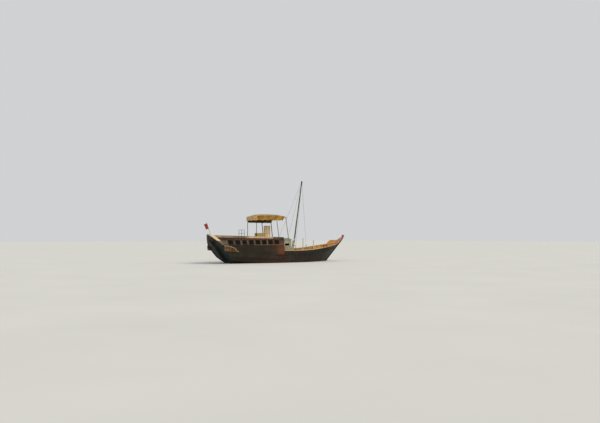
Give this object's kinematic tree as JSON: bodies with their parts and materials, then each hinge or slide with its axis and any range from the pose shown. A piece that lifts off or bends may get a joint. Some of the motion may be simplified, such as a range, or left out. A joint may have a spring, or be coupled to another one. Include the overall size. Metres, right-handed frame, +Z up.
{
  "type": "dhow",
  "caption": "Wooden sailing dhow with a raked transom, a high poop under a canvas awning, one bare raked mast, a deckhouse, a hung rudder with a yoke on its head, and a cargo hatch.",
  "frame": {"origin": "on the centreline amidships, at the waterline", "axes": "+X to the bow, +Y to port, +Z up"},
  "size_m": [22.6541, 5.793, 13.4191],
  "materials": {
    "oiled_planking": "oiled, weathered",
    "poop_teak": "oiled",
    "tarred_timber": "tarred",
    "varnished_timber": "varnished",
    "cream_paint": "painted",
    "weathered_deck": "bare, weathered",
    "grey_white_paint": "painted",
    "mast_timber": "bare",
    "awning_canvas": "woven canvas",
    "olive_paint": "painted",
    "stay_rope": "laid rope",
    "red_bunting": "woven cloth"
  },
  "bodies": {
    "hull": {"hull_body": "oiled_planking", "keel": "oiled_planking", "stem_post": "tarred_timber", "transom": "tarred_timber", "stern_post": "tarred_timber", "stern_moulding": "cream_paint", "poop_side_stbd": "poop_teak", "poop_side_port": "poop_teak", "bulwark_stbd": "oiled_planking", "bulwark_port": "oiled_planking", "wale_stbd": "tarred_timber", "wale_port": "tarred_timber", "window_sill_stbd": "poop_teak", "window_sill_port": "poop_teak", "quarter_gallery_stbd": "varnished_timber", "quarter_gallery_port": "varnished_timber", "cap_rail_stbd": "cream_paint", "cap_rail_port": "cream_paint", "bow_washboard_stbd": "varnished_timber", "bow_washboard_port": "varnished_timber", "poop_rail_stbd": "cream_paint", "poop_rail_port": "cream_paint", "main_deck": "weathered_deck", "poop_deck": "weathered_deck", "fore_deck": "weathered_deck", "poop_bulkhead": "poop_teak", "deckhouse_side_stbd": "grey_white_paint", "deckhouse_side_port": "grey_white_paint", "deckhouse_front": "grey_white_paint", "deckhouse_roof": "grey_white_paint", "hatch_coaming": "varnished_timber", "mast": "mast_timber", "masthead_block": "tarred_timber", "mast_heel_post": "grey_white_paint", "shroud_stbd_1": "stay_rope", "shroud_stbd_2": "stay_rope", "shroud_port_1": "stay_rope", "shroud_port_2": "stay_rope", "deck_post_aft": "grey_white_paint", "deck_post_fore": "grey_white_paint", "bow_bitts": "varnished_timber", "awning_post_aft_stbd": "olive_paint", "awning_post_aft_port": "olive_paint", "awning_post_mid_stbd": "olive_paint", "awning_post_mid_port": "olive_paint", "awning_post_fore_stbd": "olive_paint", "awning_post_fore_port": "olive_paint", "awning_frame": "olive_paint", "awning_canvas": "awning_canvas", "locker": "olive_paint", "awning_screen": "cream_paint", "ensign_staff": "mast_timber", "ensign": "red_bunting"},
    "rudder": {"rudder_blade": "tarred_timber", "rudder_yoke": "varnished_timber"},
    "house_door": {"deckhouse_door": "poop_teak"},
    "hatch_lid": {"hatch_cover": "weathered_deck"},
    "locker_top": {"locker_lid": "olive_paint"}
  },
  "joints": [
    {"name": "rudder_swing", "type": "hinge", "parent": "hull", "child": "rudder", "pos_m": [-7.81025, 0, -0.17729], "axis": [-0.6101, 0, 0.7923], "range_deg": [-35, 35]},
    {"name": "house_door_swing", "type": "hinge", "parent": "hull", "child": "house_door", "pos_m": [1.56, -0.932, 1.0083], "axis": [0, 0, -1], "range_deg": [0, 100]},
    {"name": "hatch_lift", "type": "hinge", "parent": "hull", "child": "hatch_lid", "pos_m": [5.335, 0.68, 1.2606], "axis": [-1, 0, 0], "range_deg": [0, 105]},
    {"name": "locker_lift", "type": "hinge", "parent": "hull", "child": "locker_top", "pos_m": [-3.24, -0.445, 3.9906], "axis": [-1, 0, 0], "range_deg": [0, 95]}
  ]
}
